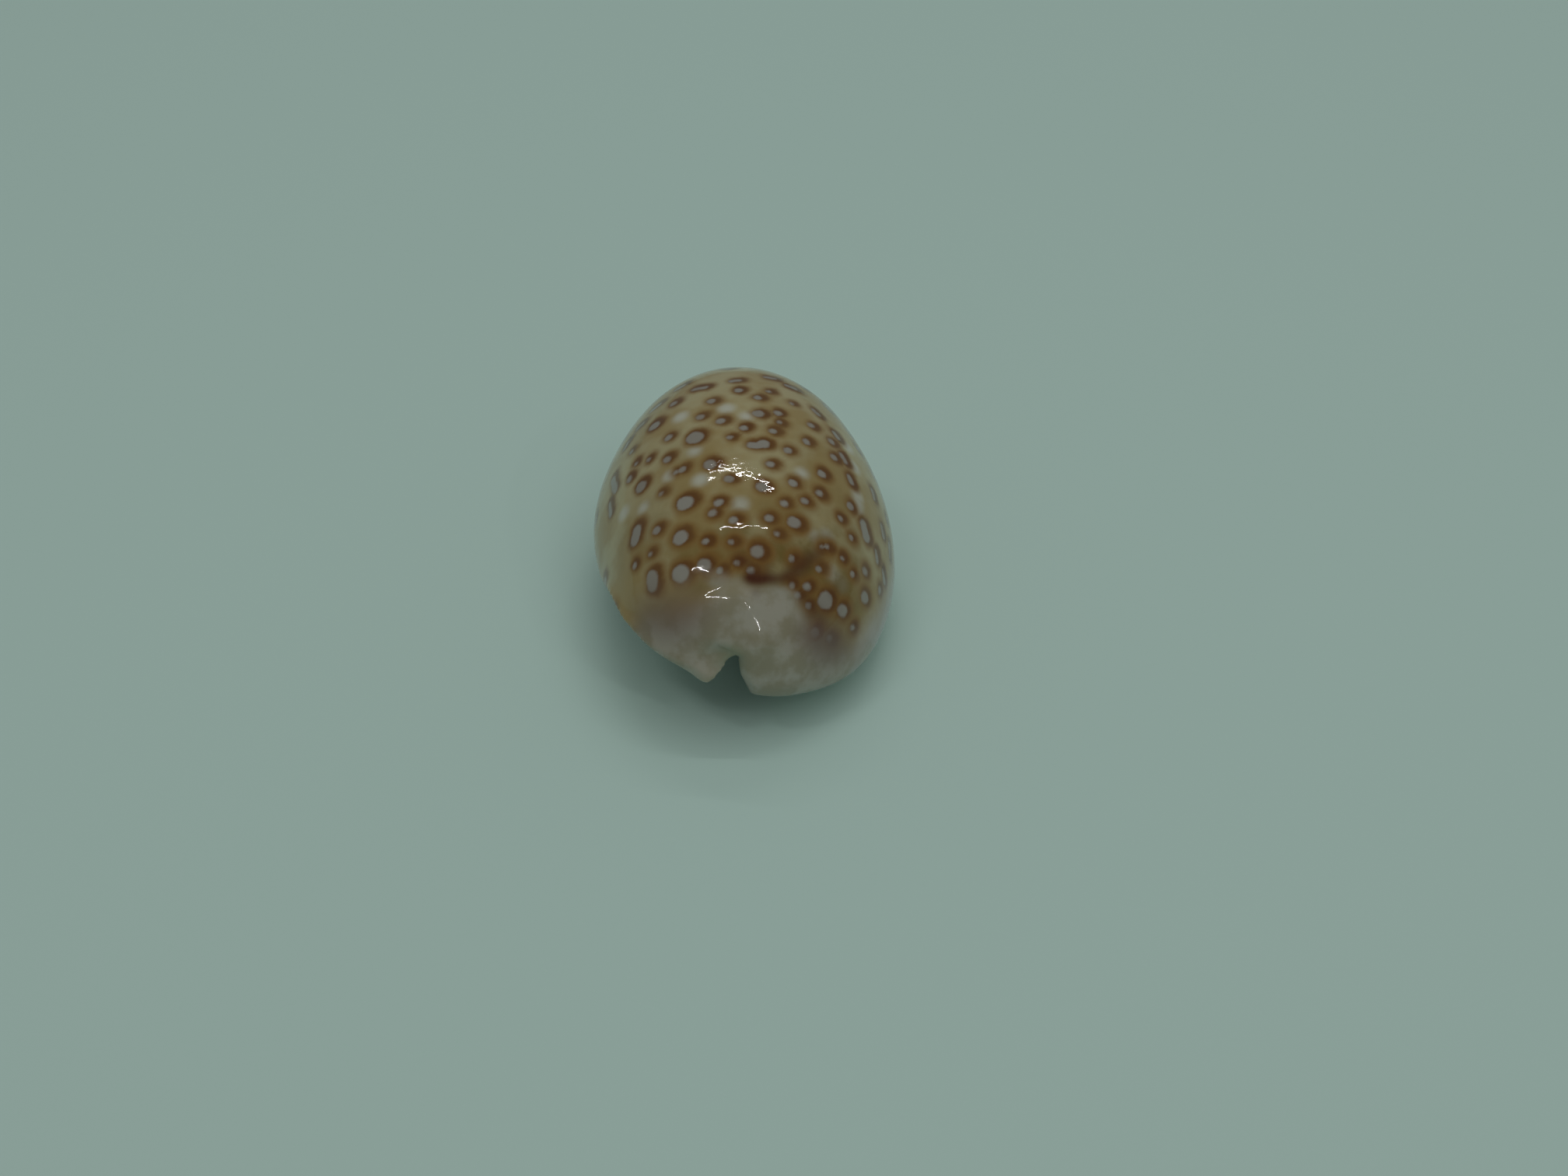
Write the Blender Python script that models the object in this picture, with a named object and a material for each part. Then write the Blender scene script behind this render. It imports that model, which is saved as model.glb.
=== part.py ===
"""Shell of a white-toothed cowrie, about 24 mm long, one closed solid.

+Z is up. The back of the shell faces +Z, the long axis lies along Y with the
posterior (spire) end towards -Y, and the outer lip is on the +X side. The
shell lies on the low part of its base, at z = 0, and the origin is under the
middle of its box.
"""
import bmesh
import bpy
import numpy as np

MM = 0.001

# overall size before the aperture is cut, in millimetres, as are all lengths below
LENGTH = 24.2
WIDTH = 14.6
HEIGHT = 10.0

# body: size amidships, how much more of it to the rear, how much more at both ends
HALF_LENGTH = (11.25, 10.27)
HALF_WIDTH = (6.76, 1.29, -0.32)
RISE = (7.09, 0.22, 0.28)
DROP = (2.88, 0.3)
BACK_BLEND = 2.2
SIDE_HEIGHT = (3.39, 3.63, 1.95)
LEAN = 0.155
SWING = (-0.74, 1.35)

# how far from amidships the ends begin, and how much closer together the stations are there
END_FROM = (0.35, 0.35)
CROWDING = 0.2

# base: where its low line starts to lift towards each end and by how much, bow across each side of
# the aperture, how far from it the lips stay nearly flat, tilt at the rear, depth of the level spot
REAR_LIFT = (-1.65, 4.40)
FRONT_LIFT = (3.5, 1.0)
LIFT_POWER = 1.9
BOW_LEFT = 0.041
BOW_RIGHT = 0.004
FLAT_LIP = 2.0
REAR_TILT = 0.49
MARGIN_SOFTNESS = (0.25, 0.5)
REST_DEPTH = 0.25

# inner lip's base: its fullest line from the edge of the aperture, its reach and its fullness
INNER_LIP = (1.7, 1.6, 0.25)

# aperture from the rear to the front: place along Y, middle, half gap
APERTURE = ((-12.6, -0.05, 1.35), (-12.3, -0.40, 1.10), (-12.0, -0.62, 0.98), (-11.3, -0.68, 0.95),
            (-10.8, -0.44, 0.90), (-9.8, -0.12, 0.86), (-8.8, 0.37, 0.73), (-7.6, 1.01, 0.55),
            (-3.8, 1.50, 0.60), (0.5, 1.50, 0.60), (4.5, 1.35, 0.64), (8.0, 1.05, 0.74),
            (10.4, 0.75, 0.84), (11.6, 0.60, 1.25))
APERTURE_SMOOTHING = 0.4

# lips: width and height of their rounding, the same at the ends, where one turns into the other
LIP_ROUND = (0.85, 1.0)
LIP_ROUND_ENDS = (0.30, 0.35)
LIP_FADE = (0.7, 0.1)
FURTHEST_END = 0.98

# roof of the slot from the rear to the front: place along Y, height, rise from its sides, lean of its top,
# how much narrower the slot is left and right, and how far its right wall splays out for each mm downwards
ROOF = ((-13.0, 5.30, 1.45, 0.85, 0.30, 0.42, 0.35), (-11.5, 5.20, 1.4, 0.85, 0.25, 0.35, 0.30),
        (-9.5, 4.95, 0.8, 0.3, 0.0, 0.0, 0.0), (-5.0, 4.3, 0.4, 0.0, 0.0, 0.0, 0.0),
        (0.0, 3.2, 0.4, 0.0, 0.0, 0.0, 0.0), (7.0, 3.0, 0.4, 0.0, 0.0, 0.0, 0.0),
        (10.0, 2.4, 0.6, 0.0, 0.0, 0.0, 0.0), (13.0, 2.3, 0.6, 0.0, 0.0, 0.0, 0.0))
ROOF_POWER = 1.1
SLOT_BEYOND = 1.5
FLOOR = -2.0

# both ends: half width and rise of the flat spot, reach of the lobes, shift of the rear one
END_HALF = (1.2, 1.15)
END_RISE = (1.2, 0.8)
LOBE_REACH = (0.95, 1.3)
LOBE_POWER = 1.2
REAR_SHIFT = (0.67, -0.25)
REAR_SPREAD = 0.4
NOSE_FROM = 0.42
NOSE_HEIGHT = 0.9
NOSE_REACH = 1.0

# hollow: wall as a share of the body at the sides, at both ends, over the back and in the base
WALL_SIDE = 0.20
WALL_ENDS = 0.07
WALL_BACK = 0.09
WALL_BASE = 0.20
HOLLOW_FROM = 0.36

# teeth: first and last place along Y, count, height, reach onto the base
OUTER_TEETH = (-9.3, 10.2, 17, 0.26, 1.3)
INNER_TEETH = (-7.4, 9.4, 15, 0.22, 0.7)
TOOTH_FADE = (-0.01, 0.04)
TOOTH_SINK = 0.6
CUT_MARGIN = 0.1

# callus at the rear end, tips of its lobes, right margin: centre, radius, height above the plain form
SWELLINGS = (((0.2, -10.9, 7.3), 1.3, 0.25), ((0.9, -11.6, 5.6), 0.8, 0.2),
             ((-1.7, -11.6, 5.2), 0.9, -0.2), ((0.35, -11.0, 7.5), 0.7, 0.1),
             ((-1.3, -12.4, 4.0), 0.7, 0.22), ((1.9, -12.0, 3.4), 1.5, 0.16),
             ((6.6, -5.0, 2.5), 2.6, 0.25))

STATIONS = 72
ARCH_POINTS = 25
LIP_POINTS = 4
ROOF_POINTS = 5
HOLLOW_STATIONS = 40
HOLLOW_POINTS = 19

PORCELAIN = (0.78, 0.66, 0.52, 1.0)
PORCELAIN_ROUGHNESS = 0.12


def ease(low, high, value):
    """Smooth step from 0 at low to 1 at high."""
    t = np.clip((value - low) / (high - low), 0, 1)
    return t * t * (3 - 2 * t)


def along(table, y):
    """Columns of a table read at places along Y, with its corners taken off."""
    places, *columns = np.array(table).T
    nearby = np.linspace(-APERTURE_SMOOTHING, APERTURE_SMOOTHING, 9)
    return [sum(np.interp(y + near, places, column) for near in nearby) / len(nearby) for column in columns]


def tooth_wave(y, row):
    """How far the teeth stand out along the lip and, less their sink, on the base."""
    first, last, count, height, _ = row
    place = (y - first) / (last - first)
    present = height * ease(*TOOTH_FADE, place) * ease(*TOOTH_FADE, 1 - place)
    wave = 0.5 - 0.5 * np.cos(2 * np.pi * count * place)
    return present * wave, present * (wave - TOOTH_SINK)


class Stations:
    """Columns of what each cross-section needs, from the rear end to the front."""

    def __init__(self, count):
        t = np.linspace(0, 1, count)[:, None]
        angle = np.pi * t + CROWDING * np.sin(2 * np.pi * t)
        self.cos = np.cos(angle)
        self.sin = np.sin(angle)
        self.rear = ease(END_FROM[0], 1.0, self.cos)
        self.front = ease(END_FROM[1], 1.0, -self.cos)
        rear_end = np.exp(-(self.sin / REAR_SPREAD) ** 2) * (self.cos > 0)
        rear_half, front_half = HALF_LENGTH
        self.y = -0.5 * self.cos * (rear_half + front_half + (rear_half - front_half) * self.cos)
        self.y = self.y + REAR_SHIFT[1] * rear_end
        self.lobes = LOBE_REACH[1] * self.front ** 2 - LOBE_REACH[0] * self.rear ** 2
        self.lip_y = self.y + self.lobes
        rear_low = REAR_LIFT[1] * (np.clip(REAR_LIFT[0] - self.y, 0, None) / rear_half) ** LIFT_POWER
        front_low = FRONT_LIFT[1] * (np.clip(self.y - FRONT_LIFT[0], 0, None) / front_half) ** LIFT_POWER
        self.low = rear_low + front_low
        self.middle = self.cos * (SWING[0] + SWING[1] * self.sin) + REAR_SHIFT[0] * rear_end
        amidships, rear, front = SIDE_HEIGHT
        self.side = amidships + (rear - amidships) * self.rear + (front - amidships) * self.front
        self.half = self.swell(*HALF_WIDTH) + self.at_ends(END_HALF)
        self.rise = self.swell(*RISE) + self.at_ends(END_RISE)
        self.drop = self.swell(DROP[0]) + DROP[1]
        self.softness = MARGIN_SOFTNESS[0] + (MARGIN_SOFTNESS[1] - MARGIN_SOFTNESS[0]) * self.rear
        self.slit, self.gap = along(APERTURE, self.lip_y)
        ends = ease(*LIP_FADE, self.sin)
        self.round_x, self.round_z = (a + (b - a) * ends for a, b in zip(LIP_ROUND, LIP_ROUND_ENDS))
        self.outer_teeth = tooth_wave(self.lip_y, OUTER_TEETH)
        self.inner_teeth = tooth_wave(self.lip_y, INNER_TEETH)

    def swell(self, size, to_rear=0.0, to_ends=0.0):
        """A size that is full amidships and falls to nothing at both ends."""
        return self.sin * (size + to_rear * self.cos + to_ends * (2 * self.cos ** 2 - 1))

    def at_ends(self, pair):
        return pair[0] * self.rear ** 2 + pair[1] * self.front ** 2


def plain_sections(st, count):
    """Cross-sections from the outer lip over the back to the inner lip, as x and z."""
    to_slit = LEAN * (SIDE_HEIGHT[0] - st.low) * st.sin - st.middle
    outer_end = (st.slit + st.gap + st.round_x + to_slit) / st.half
    inner_end = (st.slit - st.gap - st.round_x + to_slit) / st.half
    start = -np.arccos(np.clip(outer_end, -FURTHEST_END, FURTHEST_END))
    finish = 2 * np.pi - np.arccos(np.clip(inner_end, -FURTHEST_END, FURTHEST_END))
    turn = start + (finish - start) * np.linspace(0, 1, count)
    up = np.sin(turn)
    x = st.middle + st.half * np.cos(turn)
    z = st.side + up * (st.drop + (st.rise - st.drop) * (0.5 + 0.5 * np.tanh(BACK_BLEND * up)))
    x, z = x + LEAN * (z - SIDE_HEIGHT[0]) * st.sin, z - LEAN * x
    across = x - st.slit
    bow = np.where(across < 0, BOW_LEFT, BOW_RIGHT) * across ** 4 / (across ** 2 + FLAT_LIP ** 2)
    base = st.low + bow - REAR_TILT * across * st.rear
    return x, base + st.softness * np.logaddexp(0, (z - base) / st.softness)


def round_off(rows, st):
    """Close both ends over with ever smaller copies of the last full sections."""
    full = np.flatnonzero(st.sin[:, 0] > NOSE_FROM)
    for edge, beyond in ((full[0], range(full[0])), (full[-1], range(full[-1] + 1, len(rows)))):
        ring = rows[edge]
        centre = 0.5 * (ring[0] + ring[-1]) + np.array([0, 0, NOSE_HEIGHT])
        centre[1] = st.y[edge, 0] + NOSE_REACH * st.lobes[edge, 0]
        for row in beyond:
            share = st.half[row] / st.half[edge]
            forward = st.y[row, 0] + NOSE_REACH * st.lobes[row, 0] - centre[1]
            rows[row] = centre + share * (ring - centre) + np.array([0, forward, 0])
    return rows


def outward(points):
    """Unit normals of a grid of points that runs from +X over the back to -X."""
    normal = np.cross(np.gradient(points, axis=0), np.gradient(points, axis=1))
    return normal / np.maximum(np.linalg.norm(normal, axis=-1, keepdims=True), 1e-9)


def swellings(points):
    """Height of the callus over the plain form."""
    raised = 0
    for centre, radius, height in SWELLINGS:
        distance = np.linalg.norm(points - np.array(centre), axis=-1, keepdims=True)
        raised = raised + height * np.exp(-(distance / radius) ** 2)
    return raised


def body_rows(stations, arch_points, lip_points):
    """The outside with a groove where the slot goes, as an array [station, point, axis]."""
    st = Stations(stations)
    x, z = plain_sections(st, arch_points)
    under = z < st.side
    plain_z = z
    fullest, reach, fullness = INNER_LIP
    z = z - under * (st.outer_teeth[1] * np.exp(-((x - x[:, :1]) / OUTER_TEETH[4]) ** 2)
                     + st.inner_teeth[1] * np.exp(-((x - x[:, -1:]) / INNER_TEETH[4]) ** 2)
                     + st.sin * fullness * np.exp(-((x - x[:, -1:] + fullest) / reach) ** 2))
    # both lips run past the middle of each end, as lobes
    low = np.abs(np.linspace(-1, 1, arch_points)) ** LOBE_POWER
    back = np.stack([x, st.y + low * st.lobes, z], axis=-1)

    turn = 0.5 * np.pi * np.arange(1, lip_points + 1) / lip_points
    edges = []
    for end, side, (standing, below) in ((-1, 1, st.inner_teeth), (0, -1, st.outer_teeth)):
        edge_x = x[:, end][:, None] + side * (st.round_x + standing) * np.sin(turn)
        edge_z = plain_z[:, end][:, None] + st.round_z * (1 - np.cos(turn)) - below * np.cos(turn)
        edges.append(np.stack([edge_x, st.lip_y + 0 * turn, edge_z], axis=-1))
    left, right = edges
    rows = round_off(np.concatenate([right[:, ::-1], back, left], axis=1), st)
    return rows + swellings(rows) * outward(rows)


def hollow_rows(stations, points):
    """The room inside the shell, drawn in from the outside and most of all from the base."""
    st = Stations(stations)
    x, z = plain_sections(st, points)
    height = z.max(axis=1, keepdims=True) - st.low
    centre = st.low + height * WALL_BASE / (WALL_BASE + WALL_BACK)
    across = x - st.slit
    reach = np.where(across < 0, across.min(axis=1, keepdims=True), across.max(axis=1, keepdims=True))
    x = x - WALL_SIDE * across * (across / reach) ** 2
    z = centre + (z - centre) * (1 - WALL_BASE - WALL_BACK)
    rows = np.stack([x, st.y * (1 - WALL_ENDS) + 0 * x, z], axis=-1)
    return rows[st.sin[:, 0] > HOLLOW_FROM]


def slot_rows(stations, roof_points):
    """What is cut out between the two lips, from below the base up into the hollow."""
    st = Stations(stations)
    top, rise, lean, from_left, from_right, splay = along(ROOF, st.lip_y)
    right = st.slit + st.gap - st.outer_teeth[0] + CUT_MARGIN - from_right
    left = st.slit - st.gap + st.inner_teeth[0] - CUT_MARGIN + from_left
    place = np.linspace(1, -1, roof_points)
    away = np.abs(place - lean) / (1 - lean * np.sign(place - lean))
    x = 0.5 * (right + left) + 0.5 * (right - left) * place
    z = top - rise * away ** ROOF_POWER
    x = np.hstack([right + splay * (top - FLOOR), x, left])
    z = np.hstack([FLOOR + 0 * right, z, FLOOR + 0 * left])
    rows = np.stack([x, st.lip_y + 0 * x, z], axis=-1)
    beyond = np.array([0, SLOT_BEYOND, 0])
    return np.concatenate([rows[:1] - beyond, rows, rows[-1:] + beyond])


def solid(name, rows):
    """Closed mesh through sections with the same number of points."""
    form = bmesh.new()
    rings = [[form.verts.new(point) for point in row] for row in rows]
    around = len(rings[0])
    for ring, following in zip(rings, rings[1:]):
        for i in range(around):
            j = (i + 1) % around
            form.faces.new((ring[i], ring[j], following[j], following[i]))
    form.faces.new(rings[0])
    form.faces.new(rings[-1])
    bmesh.ops.recalc_face_normals(form, faces=form.faces)
    mesh = bpy.data.meshes.new(name)
    form.to_mesh(mesh)
    form.free()
    mesh.shade_smooth()
    return bpy.data.objects.new(name, mesh)


def porcelain():
    material = bpy.data.materials.new("porcelain")
    material.use_nodes = True
    surface = material.node_tree.nodes["Principled BSDF"]
    surface.inputs["Base Color"].default_value = PORCELAIN
    surface.inputs["Roughness"].default_value = PORCELAIN_ROUGHNESS
    surface.inputs["Metallic"].default_value = 0.0
    return material


def to_real_place(body, *others):
    """Cut the resting spot flat, bring the body to its size and set the common origin."""
    lowest = body[..., 2].min()
    body = body.copy()
    body[..., 2] = np.maximum(body[..., 2], lowest + REST_DEPTH)
    low = body.min(axis=(0, 1))
    size = body.max(axis=(0, 1)) - low
    scale = np.array([WIDTH, LENGTH, HEIGHT]) / size
    middle = np.array([WIDTH / 2, LENGTH / 2, 0])
    return [((rows - low) * scale - middle) * MM for rows in (body, *others)]


def cut(target, tool):
    modifier = target.modifiers.new(tool.name, "BOOLEAN")
    modifier.operation = "DIFFERENCE"
    modifier.solver = "EXACT"
    modifier.object = tool
    tool.hide_render = True
    tool.display_type = "WIRE"


def main():
    for old in list(bpy.data.objects):
        bpy.data.objects.remove(old, do_unlink=True)
    parts = bpy.data.collections.new("cowrie")
    cutters = bpy.data.collections.new("cutters")
    bpy.context.scene.collection.children.link(parts)
    bpy.context.scene.collection.children.link(cutters)
    body, hollow, slot = to_real_place(body_rows(STATIONS, ARCH_POINTS, LIP_POINTS),
                                       hollow_rows(HOLLOW_STATIONS, HOLLOW_POINTS),
                                       slot_rows(STATIONS, ROOF_POINTS))
    shell = solid("shell", body)
    shell.data.materials.append(porcelain())
    parts.objects.link(shell)
    for name, rows in (("hollow", hollow), ("slot", slot)):
        tool = solid(name, rows)
        cutters.objects.link(tool)
        cut(shell, tool)


main()
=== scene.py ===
import math

import bpy
import numpy as np
from mathutils import Matrix, Vector
from mathutils.bvhtree import BVHTree


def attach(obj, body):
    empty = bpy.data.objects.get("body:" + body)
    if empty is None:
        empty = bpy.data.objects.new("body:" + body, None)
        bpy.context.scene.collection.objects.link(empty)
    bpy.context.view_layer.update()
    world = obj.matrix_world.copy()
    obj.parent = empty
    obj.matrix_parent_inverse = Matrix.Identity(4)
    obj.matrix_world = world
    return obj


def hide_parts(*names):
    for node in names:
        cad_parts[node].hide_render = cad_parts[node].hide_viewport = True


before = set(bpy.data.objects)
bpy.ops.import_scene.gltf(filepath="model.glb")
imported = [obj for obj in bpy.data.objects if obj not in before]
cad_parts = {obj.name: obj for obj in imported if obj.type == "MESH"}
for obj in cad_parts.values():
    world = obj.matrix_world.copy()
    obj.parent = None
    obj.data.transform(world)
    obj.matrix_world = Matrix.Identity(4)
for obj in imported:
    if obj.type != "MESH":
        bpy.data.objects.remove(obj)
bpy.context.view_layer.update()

print("frame loaded:", ", ".join(sorted(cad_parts)))

mm = 0.001

# camera, as the photograph was taken
cameraView = {
    "imageSize": (2016, 1512),
    "aim": (1.94, -0.19, -0.27),      # where the middle of the picture meets the surface, mm
    "distance": 108.7,                # from there to the camera, mm
    "pitch": 38.0,                    # degrees above the horizon
    "lens": 50.0,
    "sensor": 36.0,
    "clip": (0.005, 10),
    "missReach": 100,                 # how far out a pixel beside the shell is taken, mm
}

# the shell's form in mm: back up, spire end towards -Y, outer lip towards +X
shellForm = {
    "length": 24.2,
    "width": 14.6,
    "height": 10.0,
    "halfLength": (11.25, 10.27),
    "halfWidth": (6.76, 1.29, -0.32),
    "rise": (7.09, 0.22, 0.28),
    "drop": (2.88, 0.3),
    "backBlend": 2.2,
    "sideHeight": (3.39, 3.63, 1.95),
    "lean": 0.155,
    "swing": (-0.74, 1.35),
    "endFrom": (0.2, 0.35),
    "crowding": 0.2,
    "rearLift": (-1.65, 4.40),
    "frontLift": (3.5, 1.0),
    "liftPower": 1.9,
    "bowLeft": 0.041,
    "bowRight": 0.004,
    "flatLip": 2.0,
    "rearTilt": 0.49,
    "marginSoftness": (0.25, 0.5),
    "restDepth": 0.25,
    "innerLip": (1.7, 1.6, 0.25),
    "endHalf": (1.2, 1.15),
    "endRise": (0.8, 0.8),
    "lobeReach": (0.95, 1.3),
    "lobePower": 1.2,
    "rearShift": (0.67, -0.25),
    "rearSpread": 0.4,
    "noseFrom": 0.42,
    "noseHeight": 0.9,
    "noseReach": 1.0,
    "stations": 230,
    "archPoints": 215,
    "lipPoints": 14,
    "meshSize": 0.144,
    "rimSoftness": 4,
}

# the slit between the lips: place along Y, middle, half gap
# and its roof: place, height, rise, lean, how much narrower it is left and right, and the right wall's splay
apertureForm = {
    "line": ((-12.6, -0.05, 1.35), (-12.3, -0.40, 1.10), (-12.0, -0.62, 0.98), (-11.3, -0.68, 0.95),
             (-10.8, -0.44, 0.90), (-9.8, -0.12, 0.86), (-8.8, 0.37, 0.73), (-7.6, 1.01, 0.55),
             (-3.8, 1.50, 0.60), (0.5, 1.50, 0.60), (4.5, 1.35, 0.64), (8.0, 1.05, 0.74),
             (10.4, 0.75, 0.84), (11.6, 0.60, 1.25)),
    "roof": ((-13.0, 5.30, 1.45, 0.85, 0.30, 0.42, 0.35), (-11.5, 5.20, 1.4, 0.85, 0.25, 0.35, 0.30),
             (-9.5, 4.95, 0.8, 0.3, 0.0, 0.0, 0.0), (-5.0, 4.3, 0.4, 0.0, 0.0, 0.0, 0.0),
             (0.0, 3.2, 0.4, 0.0, 0.0, 0.0, 0.0), (7.0, 3.0, 0.4, 0.0, 0.0, 0.0, 0.0),
             (10.0, 2.4, 0.6, 0.0, 0.0, 0.0, 0.0), (13.0, 2.3, 0.6, 0.0, 0.0, 0.0, 0.0)),
    "smoothing": 0.4,
    "lipRound": (0.85, 1.0),
    "lipRoundEnds": (0.30, 0.35),
    "lipFade": (0.7, 0.1),
    "furthestEnd": 0.98,
    "outerTeeth": (-9.3, 10.2, 17, 0.26, 1.3),
    "innerTeeth": (-7.4, 9.4, 15, 0.22, 0.7),
    "toothFade": (-0.01, 0.04),
    "toothSink": 0.6,
    "cutMargin": 0.1,
    "roofPower": 1.1,
    "beyond": 1.5,
    "floor": -2.0,
    "roofPoints": 15,
}

# the room inside: its walls as shares of the body
hollowForm = {
    "side": 0.20,
    "ends": 0.07,
    "back": 0.09,
    "base": 0.20,
    "from": 0.36,
    "stations": 90,
    "points": 60,
}

# callus round the sunken spire, tips of both lobes, right margin: centre, radius, height
callusForm = (
    ((0.2, -10.9, 7.3), 1.3, 0.25),
    ((0.9, -11.6, 5.6), 0.8, 0.2),
    ((-1.7, -11.6, 5.2), 0.9, -0.2),
    ((0.35, -11.0, 7.5), 0.7, 0.10),
    ((-1.3, -12.4, 4.0), 0.7, 0.22),
    ((1.9, -12.0, 3.4), 1.5, 0.16),
    ((6.6, -5.0, 2.5), 2.6, 0.10),
)

# the dish in the left lobe, and the fold that bounds it above: two points of the fold, reach, depth
foldForm = {
    "dish": (-0.62, -12.25, 4.95),
    "foldStart": (-0.75, -12.0, 5.70),
    "foldEnd": (0.20, -12.3, 5.22),
    "reach": 0.85,
    "depth": 0.34,
    "foldWidth": (-0.05, 0.13),
    "rearTurn": 3,        # how soon the dish fades where the skin turns away from the rear
}


def ease(low, high, value):
    t = np.clip((value - low) / (high - low), 0, 1)
    return t * t * (3 - 2 * t)


def readAlong(table, y):
    # columns of a table at places along Y, with its corners taken off
    places, *columns = np.array(table).T
    nearby = np.linspace(-apertureForm["smoothing"], apertureForm["smoothing"], 9)
    return [sum(np.interp(y + near, places, column) for near in nearby) / len(nearby) for column in columns]


def toothWave(y, row):
    # how far the teeth stand out along the lip and, less their sink, on the base
    first, last, count, height, reach = row
    place = (y - first) / (last - first)
    fade = apertureForm["toothFade"]
    present = height * ease(*fade, place) * ease(*fade, 1 - place)
    wave = 0.5 - 0.5 * np.cos(2 * np.pi * count * place)
    return present * wave, present * (wave - apertureForm["toothSink"])


class Stations:
    # what each cross-section needs, from the spire end to the front

    def __init__(self, count):
        form = shellForm
        t = np.linspace(0, 1, count)[:, None]
        angle = np.pi * t + form["crowding"] * np.sin(2 * np.pi * t)
        self.cos = np.cos(angle)
        self.sin = np.sin(angle)
        self.rear = ease(form["endFrom"][0], 1.0, self.cos)
        self.front = ease(form["endFrom"][1], 1.0, -self.cos)
        rearEnd = np.exp(-(self.sin / form["rearSpread"]) ** 2) * (self.cos > 0)
        rearHalf, frontHalf = form["halfLength"]
        self.y = -0.5 * self.cos * (rearHalf + frontHalf + (rearHalf - frontHalf) * self.cos)
        self.y = self.y + form["rearShift"][1] * rearEnd
        self.lobes = form["lobeReach"][1] * self.front ** 2 - form["lobeReach"][0] * self.rear ** 2
        self.lipY = self.y + self.lobes
        rearStart, rearLift = form["rearLift"]
        frontStart, frontLift = form["frontLift"]
        rearLow = rearLift * (np.clip(rearStart - self.y, 0, None) / rearHalf) ** form["liftPower"]
        frontLow = frontLift * (np.clip(self.y - frontStart, 0, None) / frontHalf) ** form["liftPower"]
        self.low = rearLow + frontLow
        swing = form["swing"]
        self.middle = self.cos * (swing[0] + swing[1] * self.sin) + form["rearShift"][0] * rearEnd
        amidships, rear, front = form["sideHeight"]
        self.side = amidships + (rear - amidships) * self.rear + (front - amidships) * self.front
        self.half = self.swell(*form["halfWidth"]) + self.atEnds(form["endHalf"])
        self.rise = self.swell(*form["rise"]) + self.atEnds(form["endRise"])
        self.drop = self.swell(form["drop"][0]) + form["drop"][1]
        hard, soft = form["marginSoftness"]
        self.softness = hard + (soft - hard) * self.rear
        self.slit, self.gap = readAlong(apertureForm["line"], self.lipY)
        ends = ease(*apertureForm["lipFade"], self.sin)
        lips = zip(apertureForm["lipRound"], apertureForm["lipRoundEnds"])
        self.roundX, self.roundZ = (a + (b - a) * ends for a, b in lips)
        self.outerTeeth = toothWave(self.lipY, apertureForm["outerTeeth"])
        self.innerTeeth = toothWave(self.lipY, apertureForm["innerTeeth"])

    def swell(self, size, toRear=0.0, toEnds=0.0):
        return self.sin * (size + toRear * self.cos + toEnds * (2 * self.cos ** 2 - 1))

    def atEnds(self, pair):
        return pair[0] * self.rear ** 2 + pair[1] * self.front ** 2


def plainSections(st, count):
    # x and z of the cross-sections, from the outer lip over the back to the inner lip
    form = shellForm
    lean = form["lean"]
    furthest = apertureForm["furthestEnd"]
    toSlit = lean * (form["sideHeight"][0] - st.low) * st.sin - st.middle
    outerEnd = (st.slit + st.gap + st.roundX + toSlit) / st.half
    innerEnd = (st.slit - st.gap - st.roundX + toSlit) / st.half
    start = -np.arccos(np.clip(outerEnd, -furthest, furthest))
    finish = 2 * np.pi - np.arccos(np.clip(innerEnd, -furthest, furthest))
    turn = start + (finish - start) * np.linspace(0, 1, count)
    up = np.sin(turn)
    x = st.middle + st.half * np.cos(turn)
    z = st.side + up * (st.drop + (st.rise - st.drop) * (0.5 + 0.5 * np.tanh(form["backBlend"] * up)))
    x, z = x + lean * (z - form["sideHeight"][0]) * st.sin, z - lean * x
    across = x - st.slit
    bow = np.where(across < 0, form["bowLeft"], form["bowRight"])
    bow = bow * across ** 4 / (across ** 2 + form["flatLip"] ** 2)
    base = st.low + bow - form["rearTilt"] * across * st.rear
    return x, base + st.softness * np.logaddexp(0, (z - base) / st.softness)


def roundOff(rows, st):
    # both ends close over with ever smaller copies of the last full sections
    form = shellForm
    full = np.flatnonzero(st.sin[:, 0] > form["noseFrom"])
    for edge, beyond in ((full[0], range(full[0])), (full[-1], range(full[-1] + 1, len(rows)))):
        ring = rows[edge]
        centre = 0.5 * (ring[0] + ring[-1]) + np.array([0, 0, form["noseHeight"]])
        centre[1] = st.y[edge, 0] + form["noseReach"] * st.lobes[edge, 0]
        for row in beyond:
            share = st.half[row] / st.half[edge]
            forward = st.y[row, 0] + form["noseReach"] * st.lobes[row, 0] - centre[1]
            rows[row] = centre + share * (ring - centre) + np.array([0, forward, 0])
    return rows


def outward(points):
    normal = np.cross(np.gradient(points, axis=0), np.gradient(points, axis=1))
    return normal / np.maximum(np.linalg.norm(normal, axis=-1, keepdims=True), 1e-9)


def callusHeight(points):
    raised = 0
    for centre, radius, height in callusForm:
        distance = np.linalg.norm(points - np.array(centre), axis=-1, keepdims=True)
        raised = raised + height * np.exp(-(distance / radius) ** 2)
    return raised


def dishDepth(points):
    form = foldForm
    start, end, dish = (np.array(form[name]) for name in ("foldStart", "foldEnd", "dish"))
    distance = np.linalg.norm(points - dish, axis=-1, keepdims=True)
    along = end - start
    below = np.array([along[2], 0, -along[0]]) / np.hypot(along[0], along[2])
    past = ((points - start) @ below)[..., None]
    return form["depth"] * np.exp(-(distance / form["reach"]) ** 4) * ease(*form["foldWidth"], past)


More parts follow.
